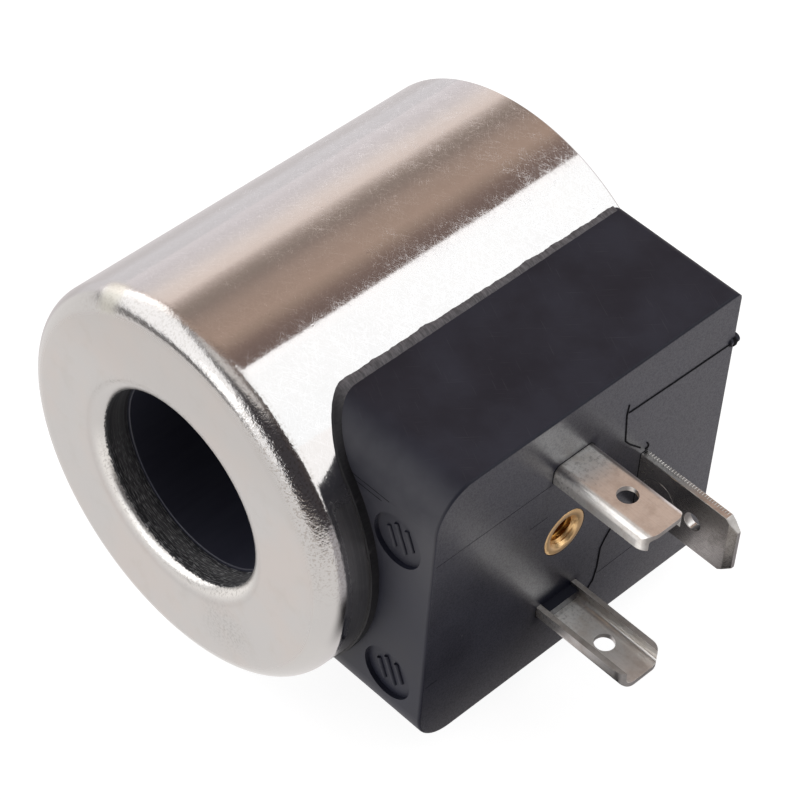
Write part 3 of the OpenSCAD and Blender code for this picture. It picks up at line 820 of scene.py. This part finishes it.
# %% Sweep the film
film_lift = 0.24
sunk = -0.15
film_points = []
film_faces = []
film_rows = []
for count, (y, z, away_y, away_z, width) in enumerate(outline):
    place = count * film_step / mm
    ragged = 0.04 + 0.03 * noise.noise((place / 0.4, 0, 3.7)) + 0.09 * noise.noise((place / 2.3, 5.1, 0))
    ridge = 0.012 * noise.noise((place / 0.3, 8.3, 1.1)) + 0.012 * noise.noise((place / 1.1, 2.3, 6.1))
    reach = width + max(0.01, ragged) * mm
    section = [(sunk * mm, film_lift + ridge), (0.0, 0.235 + ridge), (0.4 * width, 0.23 + ridge)]
    section += [(width + 0.01 * mm, 0.21 + 0.5 * ridge), (0.5 * (width + reach) + 0.01 * mm, 0.15)]
    section += [(reach + 0.02 * mm, 0.01), (reach, sunk), (sunk * mm, sunk)]
    row = []
    for offset, lift in section:
        at_y = y + away_y * offset
        at_z = z + away_z * offset
        at_r = can_r + lift * mm
        row.append(len(film_points))
        film_points.append((math.sqrt(at_r**2 - at_z**2), at_y, at_z))
    film_rows.append(row)
for first, second in zip(film_rows, film_rows[1:]):
    film_faces += bridge(first, second)
film_faces += [film_rows[0], film_rows[-1]]
add_piece("flash_film", film_points, film_faces, torn, 50.0)
print("film with", len(film_faces), "faces")

# %% [markdown]
# ## Mould lines and other small marks
# Thin raised lines cross the connector face where the halves and the cores of the mould met. They run round
# the contacts too. A lump of torn plastic at the rear edge shows where the mould was filled. Each line is a
# narrow bead, swept along its path and half sunk in the surface, and a little noise keeps it from looking
# drawn with a ruler. The two round recesses hold three plain bars each.

# %% Beads


def bead(points, faces, path, outward, radius, sides=8, waver=0.2):
    """Adds a bead along a path to a mesh. The path is a list of corners on a flat surface."""
    stations = []
    for start, end in zip(path, path[1:]):
        count = max(1, round((Vector(end) - Vector(start)).length / (0.12 * mm)))
        stations += [Vector(start).lerp(Vector(end), i / count) for i in range(count)]
    stations.append(Vector(path[-1]))
    rows = []
    for i, station in enumerate(stations):
        ahead = (stations[min(i + 1, len(stations) - 1)] - stations[max(i - 1, 0)]).normalized()
        across = ahead.cross(Vector(outward))
        size = radius * (1 + waver * noise.noise(station * (1 / (0.25 * mm))))
        drift = noise.noise(station * (1 / (0.9 * mm)) + Vector((9, 4, 2)))
        shift = across * (waver * 0.5 * radius * drift)
        row = []
        for k in range(sides):
            angle = 2 * math.pi * k / sides
            spot = station + shift + size * (math.cos(angle) * across + math.sin(angle) * Vector(outward))
            row.append(len(points))
            points.append(tuple(spot))
        rows.append(row)
    for first, second in zip(rows, rows[1:]):
        faces += bridge(first, second)
    faces += [rows[0], rows[-1]]


def on_face(pairs):
    """Points on the connector face, from y and z in millimetres."""
    return [(face_x, y * mm, z * mm) for y, z in pairs]


dull = Finish("dull_black", ior=1.45, roughness=0.7, specular_ior_level=0.2)
soot = dull.cloud(dull.place, 0.3 * mm)
dull.set(base_color=dull.mix(soot, (0.003, 0.003, 0.004, 1), (0.009, 0.009, 0.011, 1)))
print("a bead can follow any path")

# %% Lines on the connector face
line_points = []
line_faces = []
crisp_lines = [
    [(27.45, 9.85), (33.0, 9.62), (39.9, 9.40)],
    [(27.35, 10.84), (27.22, 9.75), (27.37, 8.16), (27.55, 6.39), (28.23, 5.51), (29.64, 4.11)],
    [(30.49, 4.11), (30.74, 3.75), (30.71, 3.45), (30.36, 3.42)],
    [(27.3, -4.2), (26.7, -5.1), (26.3, -5.9), (26.2, -8.4), (25.9, -9.8), (25.4, -10.4)],
]
faint_lines = [
    [(5.9, 7.50), (18.8, 7.52)],
    [(26.3, -9.2), (31.5, -9.1)],
    [(5.9, -7.6), (7.2, -7.6)],
    [(16.75, 3.70), (18.8, 3.66)],
]
for pairs in crisp_lines:
    bead(line_points, line_faces, on_face(pairs), (1, 0, 0), 0.085 * mm)
for pairs in faint_lines:
    bead(line_points, line_faces, on_face(pairs), (1, 0, 0), 0.016 * mm, 6)
for level, far in ((11.15, 4.2), (10.60, 3.0)):
    start = (math.sqrt(can_r**2 - (level * mm) ** 2) + 0.2 * mm, block_front, level * mm)
    end = (start[0] + far * mm, block_front, (level + 0.05) * mm)
    bead(line_points, line_faces, [start, end], (0, -1, 0), 0.03 * mm, 6)
print(len(crisp_lines), "crisp lines and", len(faint_lines), "faint ones")

# %% Collars round the contacts
low, high = screw_y / mm - 2.35, screw_y / mm + 2.35
foot, bend, top = 7.7, 9.0, 9.47
cut = 0.45
collar = [(low, foot), (low, bend), (low + cut, top), (high - cut, top), (high, bend), (high, foot)]
for way in (1, -1):
    bead(line_points, line_faces, on_face([(y, z * way) for y, z in collar]), (1, 0, 0), 0.04 * mm)
blade_edge = [(29.88, -3.1), (29.88, 3.16), (30.72, 3.16), (30.72, -3.1)]
bead(line_points, line_faces, on_face(blade_edge), (1, 0, 0), 0.04 * mm)
add_piece("mould_lines", line_points, line_faces, dull, 60.0)
print("lines with", len(line_faces), "faces")

# %% Lumps of torn plastic


def lump(name, centre, size):
    """A ball of plastic, made uneven by noise. It never stands out beyond the coil's box."""
    coarse, fine = 2600, 9000
    ball = bmesh.new()
    bmesh.ops.create_icosphere(ball, subdivisions=4, radius=size)
    for vertex in ball.verts:
        push = 1 + 0.16 * noise.noise(vertex.co * coarse) + 0.05 * noise.noise(vertex.co * fine)
        vertex.co = centre + vertex.co * push
        vertex.co.y = min(vertex.co.y, cad_box[1][1])
    mesh = bpy.data.meshes.new(name)
    ball.to_mesh(mesh)
    ball.free()
    keep_piece(name, mesh, dull, 60.0)


lump("gate_lump", Vector((face_x - 0.18 * mm, can_len - 0.02 * mm, 9.45 * mm)), 0.52 * mm)
lump("pin_lump", Vector((face_x + 0.12 * mm, 22.75 * mm, -8.7 * mm)), 0.42 * mm)
print("two lumps")

# %% Bars in the recesses
bar_points = []
bar_faces = []
recess_x = face_x - 3.95 * mm
recess_floor = block_front + 0.45 * mm
lean = math.radians(24)
sideways = Vector((math.cos(lean), 0, math.sin(lean))) * mm
upwards = Vector((-math.sin(lean), 0, math.cos(lean))) * mm
for recess_z in (7.6 * mm, -8.9 * mm):
    for step, half in ((-1.05, 1.0), (0.0, 1.45), (1.05, 1.0)):
        middle = Vector((recess_x, recess_floor, recess_z)) + sideways * step
        ends = [middle - upwards * half, middle + upwards * half]
        bead(bar_points, bar_faces, ends, (0, -1, 0), 0.22 * mm, 12, 0.08)
add_piece("recess_bars", bar_points, bar_faces, black, 60.0)
print("six bars in two recesses")

# %% [markdown]
# ## Softened copies
# No stamped or moulded edge is perfectly sharp, and the thin highlight along an edge makes a piece look
# solid. A copy of a solid's mesh is cleaned of its triangles, and its sharp edges get a narrow bevel.
# Smooth shading would bend the large flats towards those bevels, so each corner's normal is an average in
# which large faces count for more.

# %% Soften an edge


def flatten_shading(mesh, alike):
    """Sets corner normals by face area, so that flats stay flat and bevels carry the turn."""
    touching = [[] for _ in mesh.vertices]
    for face in mesh.polygons:
        for number in face.vertices:
            touching[number].append(face)
    normals = []
    for face in mesh.polygons:
        for number in face.vertices:
            near = [other for other in touching[number] if other.normal.dot(face.normal) > alike]
            normals.append(sum((other.normal * other.area for other in near), Vector()).normalized())
    mesh.normals_split_custom_set(normals)


def softened(node, name, finish, width, alike=0.6):
    """A copy of a solid with its sharp edges rounded over. It stands in for the solid."""
    shape = bmesh.new()
    shape.from_mesh(nodes[node].data)
    bmesh.ops.remove_doubles(shape, verts=shape.verts, dist=0.002 * mm)
    bmesh.ops.dissolve_limit(shape, angle_limit=math.radians(1), verts=shape.verts, edges=shape.edges)
    inner = [edge for edge in shape.edges if len(edge.link_faces) == 2]
    sharp = [edge for edge in inner if edge.calc_face_angle() > math.radians(35)]
    how = {"segments": 2, "profile": 0.5, "affect": "EDGES", "clamp_overlap": True}
    bmesh.ops.bevel(shape, geom=sharp, offset=width, **how)
    mesh = bpy.data.meshes.new(name)
    shape.to_mesh(mesh)
    shape.free()
    piece = keep_piece(name, mesh, finish, 50.0)
    flatten_shading(mesh, alike)
    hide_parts(node)
    print(name, "has", len(mesh.polygons), "faces")


print("a softened copy can stand in for a solid")

# %% [markdown]
# ## Contacts
# The line pins are channels folded from plated strip. Drawing through the tool leaves fine lines along
# them. Grime gathers near the moulding, and the sheared rims and ends are darker and duller than the
# plating. The earth blade is cut from thicker strip.

# %% Plated strip
pin_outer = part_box("upper_line_pin")[1].z


def plated_strip(name, colour, stain, rough, grimy):
    """Bright plating over drawn strip, with lines along X, and grime that is thickest near the moulding."""
    strip = Finish(name, metallic=1.0)
    drawn = strip.cloud(strip.point(strip.x / 40, strip.y, strip.z), 0.08 * mm, 2.0, 0.6)
    clouds = strip.cloud(strip.place, 1.6 * mm, 4.0, 0.6)
    grime = strip.cloud(strip.place, 0.30 * mm, 4.0, 0.65).ramp(0.47, 0.68)
    grime = grime * strip.x.ramp(face_x + 4.5 * mm, face_x + 1.0 * mm, grimy, 0.55)
    pits = strip.dots(strip.place, 0.9 * mm, 0.10 * mm, 0.35)
    lines = drawn.ramp(0.45, 0.70)
    rise = pin_outer - abs(strip.z)
    sheared = rise.ramp(1.655 * mm, 1.685 * mm) * rise.ramp(1.8 * mm, 1.75 * mm)
    sheared = strip.maths("MAXIMUM", sheared, strip.facing()["X"].ramp(0.35, 0.75))
    tone = strip.mix(clouds.ramp(0.42, 0.75), colour, stain)
    tone = strip.mix(lines * 0.35, tone, stain)
    tone = strip.mix(grime, tone, (0.26, 0.245, 0.235, 1))
    strip.set(
        base_color=strip.mix(sheared * (0.35 + clouds * 0.6), tone, (0.30, 0.28, 0.265, 1)),
        roughness=rough + clouds * 0.14 + sheared * 0.25 + grime * 0.15,
    )
    strip.relief((drawn + grime) * (3.0 * micron) + clouds * (2.0 * micron) - pits * (0.7 * micron))
    return strip


pin_finish = plated_strip("tinned_pin", (0.92, 0.90, 0.87, 1), (0.72, 0.67, 0.62, 1), 0.24, 0.10)
blade_finish = plated_strip("tinned_blade", (0.64, 0.62, 0.60, 1), (0.48, 0.46, 0.44, 1), 0.13, 0.30)
for level in ("upper", "lower"):
    softened(level + "_line_pin", level + "_pin", pin_finish, 0.06 * mm)
softened("earth_blade", "blade", blade_finish, 0.05 * mm, alike=0.975)

# %% [markdown]
# ## Shear marks
# The blade was nibbled from its strip, and the tool left a row of ticks along its upper edge. They are
# small ridges across the sheet, one for each bite. A thin stamped ring marks the flat of the blade near
# its root.

# %% Ticks along the blade
tick_points = []
tick_faces = []
blade_low, blade_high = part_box("earth_blade")
tick_step = 0.28 * mm
tick_start = blade_low.y + 0.42 * mm
tick_end = blade_high.y - 0.05 * mm
tick_x = face_x + 0.5 * mm
while tick_x < blade_high.x - 1.5 * mm:
    ends = [(tick_x, tick_start, blade_high.z), (tick_x, tick_end, blade_high.z)]
    bead(tick_points, tick_faces, ends, (0, 0, 1), 0.055 * mm, 8, 0.3)
    tick_x += tick_step
ring_centre = (26.6, -0.3)
ring = [(u * mm, blade_low.y, v * mm) for u, v in arc(ring_centre, 1.78, 0, 360, 60)]
bead(tick_points, tick_faces, ring, (0, -1, 0), 0.03 * mm, 6, 0.2)
add_piece("shear_ticks", tick_points, tick_faces, blade_finish, 60.0)
print("ticks with", len(tick_faces), "faces")

# %% [markdown]
# ## The screw insert
# The insert is turned brass with an M3 thread. A thread is a groove that climbs by one pitch in each turn,
# so on the bore's wall, laid flat, it is a wave that leans. The wall is a grid of rows along the bore, and
# each point's radius follows that wave until the countersink takes over at the mouth.

# %% Brass
brass = Finish("turned_brass", metallic=1.0)
off_axis = ((brass.y - screw_y) ** 2 + brass.z * brass.z) ** 0.5
turned = brass.cloud(brass.point(brass.x, off_axis), 0.06 * mm)
tarnish = brass.cloud(brass.place, 0.8 * mm, 3.0)
# Painted shade: darker brown deeper in the hole.
hole_shade = brass.x.ramp(face_x - 0.15 * mm, face_x - 0.9 * mm)
outer_brass = brass.mix(tarnish, (0.94, 0.67, 0.36, 1), (0.85, 0.54, 0.25, 1))
brass.set(base_color=brass.mix(hole_shade, outer_brass, (0.50, 0.25, 0.06, 1)), roughness=0.28 + tarnish * 0.15)
brass.relief(turned * (2.0 * micron))
print("brass is ready")

# %% Insert with its thread
insert_low, insert_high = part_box("threaded_insert")
insert_r = insert_high.z
core_r = mounts["connector_screw"]["dims"]["r_mm"] * mm
thread_depth = 0.25 * mm
pitch = 0.5 * mm
countersink = 0.45 * mm
bevel = 0.08 * mm
flank = 0.4
turn_steps = 72
thread_rows = 84
thread_len = 4.4 * mm


def insert_ring(x, radii):
    """Points round the screw's axis, each at its own radius."""
    angles = [2 * math.pi * i / turn_steps for i in range(turn_steps)]
    return [(x, screw_y + r * math.cos(a), r * math.sin(a)) for a, r in zip(angles, radii)]


def thread_radius(depth, share):
    """Radius of the threaded wall at a depth below the face, at a share of a turn."""
    wave = (depth / pitch + share) % 1.0
    groove = thread_depth * max(0.0, 1.0 - abs(wave - 0.5) / flank)
    return max(core_r + groove, core_r + countersink - depth)


insert_rings = [
    insert_ring(insert_low.x, [insert_r] * turn_steps),
    insert_ring(face_x - bevel, [insert_r] * turn_steps),
    insert_ring(face_x, [insert_r - bevel] * turn_steps),
]
for row in range(thread_rows + 1):
    depth = thread_len * row / thread_rows
    radii = [thread_radius(depth, i / turn_steps) for i in range(turn_steps)]
    insert_rings.append(insert_ring(face_x - depth, radii))
insert_points = [point for ring in insert_rings for point in ring]
rows = [list(range(k * turn_steps, (k + 1) * turn_steps)) for k in range(len(insert_rings))]
insert_faces = [quad for first, second in zip(rows, rows[1:]) for quad in bridge(first, second)]
insert_faces += [rows[0], rows[-1]]
insert = add_piece("screw_insert", insert_points, insert_faces, brass, 50.0)
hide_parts("threaded_insert")
print("thread of", round(thread_len / pitch, 1), "turns")

# %% [markdown]
# ## Bobbin and flux plate
# Through the bore the bobbin's smooth wall shows, almost black, with a thin light line where its front edge
# catches the light. The flux plate closes the rear and is faced on a lathe, so it has rings.

# %% Bobbin
bobbin = Finish("bobbin_plastic", ior=1.5)
swirl = bobbin.cloud(bobbin.point(bobbin.x, bobbin.y / 12, bobbin.z), 0.5 * mm)
bobbin.set(
    base_color=bobbin.mix(swirl, (0.022, 0.0225, 0.036, 1), (0.033, 0.035, 0.051, 1)),
    roughness=0.30 + swirl * 0.15,
)
softened("bobbin", "bobbin_shell", bobbin, 0.12 * mm)

# %% Flux plate


def dress(node, finish):
    """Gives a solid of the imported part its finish."""
    nodes[node].data.materials.clear()
    nodes[node].data.materials.append(finish.material)


faced = Finish("faced_steel", metallic=1.0)
around, along, radius = faced.unrolled()
rings_cut = faced.cloud(faced.point(around / 60, along, radius), 0.14 * mm)
clouds = faced.cloud(faced.place, 4 * mm, 3.0)
faced.set(
    base_color=faced.mix(clouds, (0.50, 0.49, 0.48, 1), (0.58, 0.565, 0.55, 1)),
    roughness=0.26 + rings_cut * 0.12 + clouds * 0.08,
)
faced.relief(rings_cut * (3.0 * micron))
dress("rear_flux_plate", faced)
print("the flux plate is faced")

# %% [markdown]
# ## What the moulding hides
# The winding and its leads are never seen in the whole coil, but a reader who takes it apart meets them, so
# they get plain finishes of their own: copper with its turns, tape, paper, woven sleeves, solder and steel.

# %% Copper
copper = Finish("enamelled_copper", metallic=1.0)
turns = copper.maths("SINE", copper.y * (2 * math.pi / (0.45 * mm)))
age = copper.cloud(copper.place, 3 * mm, 3.0)
wire_colour = copper.mix(age, (0.62, 0.26, 0.10, 1), (0.50, 0.19, 0.07, 1))
copper.set(base_color=wire_colour, roughness=0.25 + age * 0.15)
copper.relief(turns * (60 * micron))
for name in ("winding", "start_lead", "finish_lead"):
    dress(name, copper)
print("the wire is copper")

# %% Tape, paper and sleeves


def plain_finish(name, light, dark, size, rough, metal=0.0):
    """A mottled finish for a piece that stays inside."""
    made = Finish(name, metallic=metal)
    blotch = made.cloud(made.place, size, 4.0, 0.6)
    made.set(base_color=made.mix(blotch, (*light, 1), (*dark, 1)), roughness=rough + blotch * 0.15)
    made.relief(blotch * (8 * micron))
    return made


recipes = {
    "winding_wrap": ("polyester_tape", (0.74, 0.52, 0.10), (0.62, 0.42, 0.07), 2.0 * mm, 0.25),
    "start_strip": ("strip_paper", (0.66, 0.56, 0.36), (0.56, 0.46, 0.28), 0.3 * mm, 0.7),
    "lead_sleeves": ("woven_sleeve", (0.68, 0.64, 0.52), (0.52, 0.48, 0.37), 0.15 * mm, 0.7),
    "solder_joints": ("solder", (0.62, 0.62, 0.63), (0.50, 0.50, 0.51), 0.4 * mm, 0.25, 1.0),
    "earth_strap": ("strap_steel", (0.55, 0.54, 0.52), (0.46, 0.45, 0.43), 0.5 * mm, 0.30, 1.0),
}
for name, recipe in recipes.items():
    dress(name, plain_finish(*recipe))
print(len(recipes), "hidden pieces dressed")

# %% [markdown]
# ## Check the size and finish
# The dressed coil must fill the same box as the imported solids. The two boxes are compared, and the change
# is printed.

# %% Sizes and the end
new_box = [list(corner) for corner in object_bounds()]
change = max(abs(a - b) for old, new in zip(cad_box, new_box) for a, b in zip(old, new))
print("box changed by", change, "m")
